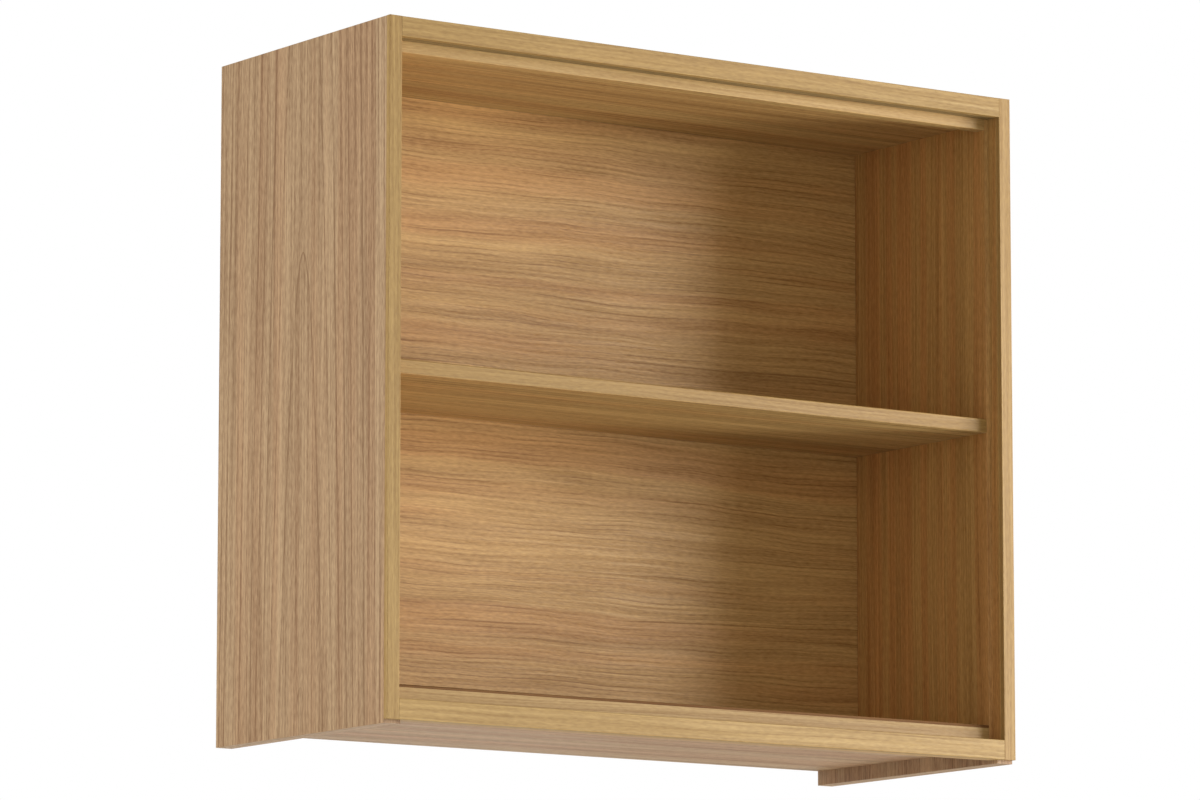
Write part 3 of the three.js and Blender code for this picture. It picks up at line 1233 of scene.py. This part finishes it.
@dataclass
class Case:
    """The boards of the cabinet, each with its faces dressed.

    Attributes:
        finishes: Every finish.
        lipping_radius: Radius of the arrises of the front frame.
        batten_radius: Radius of the arrises of the battens and of the shelf's lipping.
        rail_radius: Radius of the arrises of the rear rails.
        dark_line: Width of the dark line of painted shade along the top of the lower batten.
    """

    finishes: Finishes
    lipping_radius: float = 0.6 * MM
    batten_radius: float = 1 * MM
    rail_radius: float = 0.8 * MM
    dark_line: float = 3 * MM

    def build(self) -> None:
        """Builds every board."""
        for board in (*self._sides(), *self._front(), *self._flats(), *self._rear()):
            board.build()

    def _sides(self) -> list[Board]:
        """Describes the two side panels.

        Returns:
            The boards.
        """
        use = self.finishes
        ends = {Facing.UP: use.tan_band, Facing.DOWN: use.tan_band, Facing.REAR: use.chipboard}
        # The foot gets the darker tan: painted shade.
        foot = (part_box("bottom_panel")[0].z, use.tan_foot_painted_shade)
        outsides = (("side_panel_left", Facing.LEFT), ("side_panel_right", Facing.RIGHT))
        return [
            Board(node, "outer_veneer", use.gold_upright, {outside: use.tan_upright, **ends}, foot)
            for node, outside in outsides
        ]

    def _front(self) -> list[Board]:
        """Describes the lippings, the rails behind them and the stop battens.

        Returns:
            The boards.
        """
        use = self.finishes
        # The lippings' side faces get the lighter oak: painted light.
        edges = {Facing.LEFT: use.oak_edge_painted_light, Facing.RIGHT: use.oak_edge_painted_light}
        lipping = {"slot": "lipping", "ease": self.lipping_radius, "faces": edges}
        batten = {"slot": "lipping", "ease": self.batten_radius}
        line_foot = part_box("bottom_stop_batten")[1].z - self.dark_line
        return [
            Board("lipping_left", finish=use.oak_upright, **lipping),
            Board("lipping_right", finish=use.oak_upright, **lipping),
            Board("lipping_top", finish=use.oak_lengthwise, **lipping),
            Board("lipping_bottom", finish=use.oak_lengthwise, **lipping),
            # The top rail's underside gets the darker gold: painted shade.
            Board("top_rail", "inner_veneer", use.gold_flat, {Facing.DOWN: use.painted_shade_reveal}),
            Board("bottom_rail", "inner_veneer", use.gold_flat),
            # The battens' oak is the lighter copy: painted light.
            Board("top_stop_batten", finish=use.oak_batten_painted_light, faces={Facing.DOWN: use.gold_flat}, **batten),
            # The lower batten's top strip is the dark line of painted shade.
            Board(
                "bottom_stop_batten",
                finish=use.painted_shade_line,
                faces={Facing.DOWN: use.tan_flat},
                below=(line_foot, use.oak_batten_painted_light),
                **batten,
            ),
            Board("shelf_lipping", finish=use.shelf_edge, faces={Facing.DOWN: use.gold_flat}, **batten),
        ]

    def _flats(self) -> list[Board]:
        """Describes the top, the bottom and the shelf.

        Returns:
            The boards.
        """
        use = self.finishes
        rear = {Facing.REAR: use.chipboard}
        return [
            Board("top_panel", "inner_veneer", use.gold_flat, {Facing.UP: use.tan_flat, **rear}),
            Board("bottom_panel", "inner_veneer", use.gold_flat, {Facing.DOWN: use.tan_flat, **rear}),
            Board("shelf", "inner_veneer", use.gold_flat, rear),
        ]

    def _rear(self) -> list[Board]:
        """Describes the back panel and the three rails behind it.

        Returns:
            The boards.
        """
        use = self.finishes
        rails = ("hanging_rail", "lower_rear_rail", "wall_rail")
        return [
            Board("back_panel", "back_panel", use.gold_back, {Facing.REAR: use.hardboard}),
            *(Board(rail, "rail_wood", use.pine, ease=self.rail_radius) for rail in rails),
        ]


@dataclass(frozen=True)
class Lamp:
    """A soft rectangular light that looks at the middle of the cabinet.

    Attributes:
        name: Its name.
        place: Where it hangs, from the middle of the cabinet.
        size: Its width and height.
        power: In watts.
    """

    name: str
    place: tuple[float, float, float]
    size: tuple[float, float]
    power: float

    def hang(self, middle: Vector) -> None:
        """Hangs the light.

        Args:
            middle: The middle of the cabinet, which it looks at.
        """
        data = bpy.data.lights.new(self.name, "AREA")
        data.shape = "RECTANGLE"
        data.size, data.size_y = self.size
        data.energy = self.power
        lamp = bpy.data.objects.new(self.name, data)
        bpy.context.scene.collection.objects.link(lamp)
        lamp.location = middle + Vector(self.place)
        lamp.rotation_mode = "QUATERNION"
        lamp.rotation_quaternion = (-Vector(self.place)).to_track_quat("-Z", "Y")


FLOOR_PAINT = ((0.3, (0.82, 0.82, 0.81)), (0.7, (0.86, 0.86, 0.85)))
LAMPS = (
    Lamp("key_right", (4.3, -2.1, -0.15), (1.2, 1.5), 92.0),
    Lamp("key_low_right", (3.9, -2.55, -1.95), (1.2, 1.2), 105.0),
    Lamp("key_high_right", (3.3, -3.15, 0.9), (1.2, 1.2), 74.0),
    Lamp("key_front_right", (3.15, -3.45, -0.3), (1.2, 1.8), 42.0),
    Lamp("front_fill", (-1.5, -2.7, -0.1), (1.6, 1.6), 12.0),
    Lamp("side_fill", (-3.1, 0.35, 0.1), (0.8, 2.0), 44.0),
    Lamp("rear_fill", (0.9, 3.0, 0.4), (2.0, 2.0), 50.0),
    Lamp("top_fill", (0.2, 0.9, 3.0), (1.6, 1.6), 55.0),
)


@dataclass
class Studio:
    """Floor, light and camera.

    Attributes:
        bearing: How far to the left of straight ahead the camera stands, in degrees.
        pitch: How far it looks up, in degrees.
        distance: From the camera to the middle of the cabinet.
        aim: Where it looks, from the middle of the cabinet.
        lens: Focal length in millimetres.
        sensor: Width of the sensor in millimetres.
        floor_drop: Height of the cabinet's lower end above the floor.
        floor_half: Half the width of the floor.
        sky_light: Strength of the light that the white sky gives.
    """

    bearing: float = 34.53
    pitch: float = 8.45
    distance: float = 7.018
    aim: Vector = field(default_factory=lambda: Vector((-0.02, 0.01, 0.018)))
    lens: float = 197.7
    sensor: float = 36.0
    floor_drop: float = 1.4
    floor_half: float = 1.5
    sky_light: float = 0.41

    def build(self) -> None:
        """Sets the whole studio up."""
        low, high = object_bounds()
        middle = (low + high) / 2
        self._floor(low.z - self.floor_drop, middle)
        self._sky()
        for lamp in LAMPS:
            lamp.hang(middle)
        self._camera(middle)

    def _floor(self, level: float, middle: Vector) -> None:
        """Lays the floor.

        Args:
            level: Its height.
            middle: The middle of the cabinet.
        """
        shape = bmesh.new()
        bmesh.ops.create_grid(shape, x_segments=8, y_segments=8, size=self.floor_half)
        bmesh.ops.translate(shape, vec=(middle.x, middle.y, level), verts=shape.verts)
        mesh = bpy.data.meshes.new("floor")
        shape.to_mesh(mesh)
        shape.free()
        floor = bpy.data.objects.new("floor", mesh)
        bpy.context.scene.collection.objects.link(floor)
        shader = Shader(bpy.data.materials.new("floor_paint"))
        cloud = shader.noise(shader.place(), EVEN * 3, 1.0, 4.0)
        paint = shader.finish(Base_Color=shader.colours(cloud, FLOOR_PAINT), Roughness=0.8)
        mesh.materials.append(paint)
        floor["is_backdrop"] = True

    def _sky(self) -> None:
        """Puts the studio under a white sky that gives a soft light of its own strength."""
        world = bpy.data.worlds.new("white_sky")
        shader = Shader(world)
        rays = shader.node("ShaderNodeLightPath")
        seen = shader.node("ShaderNodeBackground", inputs={"Color": WHITE, "Strength": 1.0})
        light = shader.node("ShaderNodeBackground", inputs={"Color": WHITE, "Strength": self.sky_light})
        choices = (rays.outputs["Is Camera Ray"], light.outputs[0], seen.outputs[0])
        sockets = {number: Signal(shader, choice) for number, choice in enumerate(choices)}
        sky = shader.node("ShaderNodeMixShader", inputs=sockets)
        shader.node("ShaderNodeOutputWorld", inputs={"Surface": Signal(shader, sky.outputs[0])})
        bpy.context.scene.world = world
        bpy.context.scene.view_settings.view_transform = "Standard"

    def _camera(self, middle: Vector) -> None:
        """Sets the camera up, low and to the left.

        Args:
            middle: The middle of the cabinet.
        """
        data = bpy.data.cameras.new("camera")
        data.lens = self.lens
        data.sensor_width = self.sensor
        camera = bpy.data.objects.new("camera", data)
        bpy.context.scene.collection.objects.link(camera)
        turn, pitch = math.radians(self.bearing), math.radians(self.pitch)
        level = Vector((-math.sin(turn), -math.cos(turn), 0.0))
        back = level * math.cos(pitch) - Vector((0, 0, math.sin(pitch)))
        camera.location = middle + self.aim + back * self.distance
        camera.rotation_mode = "QUATERNION"
        camera.rotation_quaternion = (-back).to_track_quat("-Z", "Y")
        bpy.context.scene.camera = camera


def main() -> None:
    """Builds the cabinet and its studio round the frame."""
    logging.basicConfig(level=logging.INFO, format="%(name)s: %(message)s")
    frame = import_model()
    finishes = Finishes()
    Case(finishes).build()
    nodes = sorted(frame["nodes"])
    Dowels(finishes.beech).build([n for n in nodes if n.startswith("dowel_")])
    bolts = [n for n in nodes if n.startswith("cam_bolt_")]
    CamBolts(finishes.steel).build(bolts)
    Cams(finishes.zinc).build([n for n in nodes if n.startswith("cam_") and n not in bolts])
    Studio().build()


if __name__ == "__main__":
    main()
